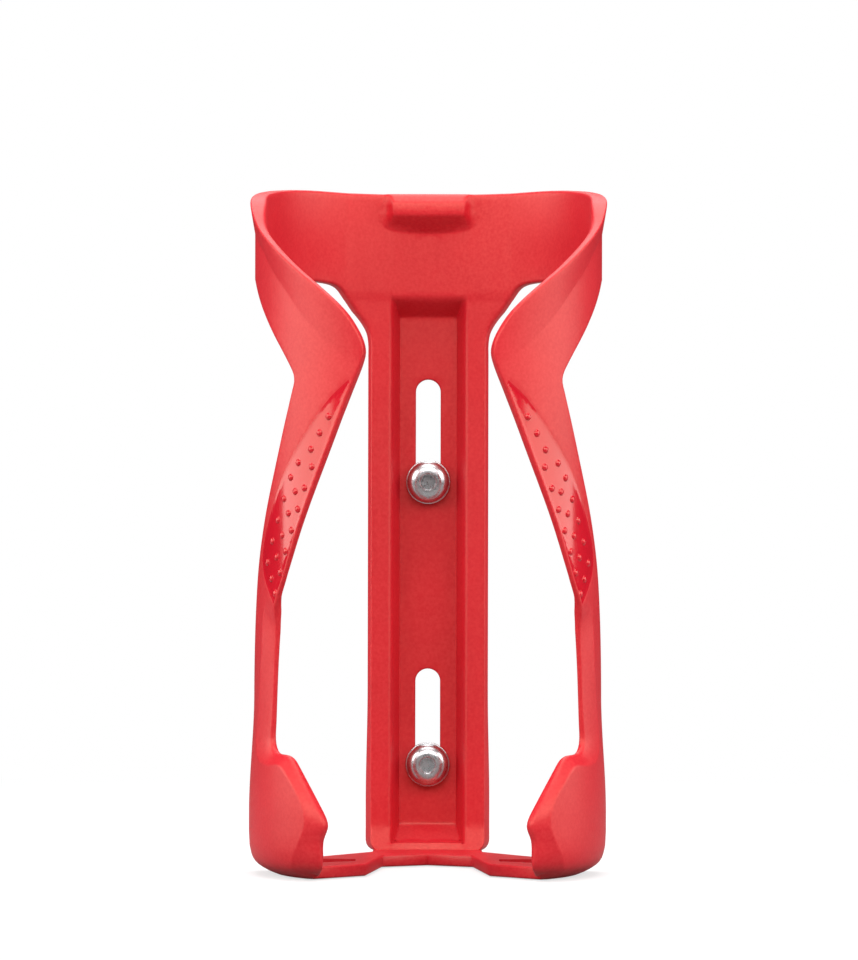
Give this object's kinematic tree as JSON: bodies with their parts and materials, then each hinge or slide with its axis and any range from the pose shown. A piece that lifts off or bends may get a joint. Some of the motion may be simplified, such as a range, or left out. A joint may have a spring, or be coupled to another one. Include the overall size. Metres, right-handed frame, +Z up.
{
  "type": "bicycle water bottle cage",
  "caption": "Open-front bottle cage with a slotted backplate, springy wrap-round sides, foot pads and a bottom strap, held by button-head screws.",
  "frame": {"origin": "centre of the backplate's rear face, midway between the two screw slots", "axes": "+Z up along the bottle, +Y out of the rear face towards the bicycle tube, -Y towards the open front, +X to the right seen from the open front"},
  "size_m": [0.0784, 0.089, 0.1504],
  "materials": {
    "red_nylon": "satin, finely textured glass-fibre nylon, polished in the grip zones",
    "stainless": "plain stainless steel"
  },
  "bodies": {
    "backplate": {"backplate": "red_nylon"},
    "left_side": {"left_side": "red_nylon"},
    "right_side": {"right_side": "red_nylon"},
    "upper_washer": {"upper_washer": "stainless"},
    "upper_bolt": {"upper_bolt": "stainless"},
    "lower_washer": {"lower_washer": "stainless"},
    "lower_bolt": {"lower_bolt": "stainless"}
  },
  "joints": [
    {"name": "left_flex", "type": "hinge", "parent": "backplate", "child": "left_side", "pos_m": [-0.0189, -0.01076, 0], "axis": [0, 0, -1], "range_deg": [0, 4], "stiffness_Nm_per_rad": 10},
    {"name": "right_flex", "type": "hinge", "parent": "backplate", "child": "right_side", "pos_m": [0.0189, -0.01076, 0], "axis": [0, 0, 1], "range_deg": [0, 4], "stiffness_Nm_per_rad": 10},
    {"name": "upper_screw_height", "type": "slide", "parent": "backplate", "child": "upper_washer", "axis": [0, 0, 1], "range_m": [0, 0.019]},
    {"name": "lower_screw_height", "type": "slide", "parent": "backplate", "child": "lower_washer", "axis": [0, 0, 1], "range_m": [0, 0.019]},
    {"name": "upper_bolt_turn", "type": "hinge", "parent": "upper_washer", "child": "upper_bolt", "pos_m": [0, -0.003, 0.0225], "axis": [0, 1, 0], "continuous": true},
    {"name": "lower_bolt_turn", "type": "hinge", "parent": "lower_washer", "child": "lower_bolt", "pos_m": [0, -0.003, -0.0415], "axis": [0, 1, 0], "continuous": true}
  ],
  "couplings": [
    {"joint": "lower_screw_height", "follows": "upper_screw_height", "ratio": 1}
  ]
}
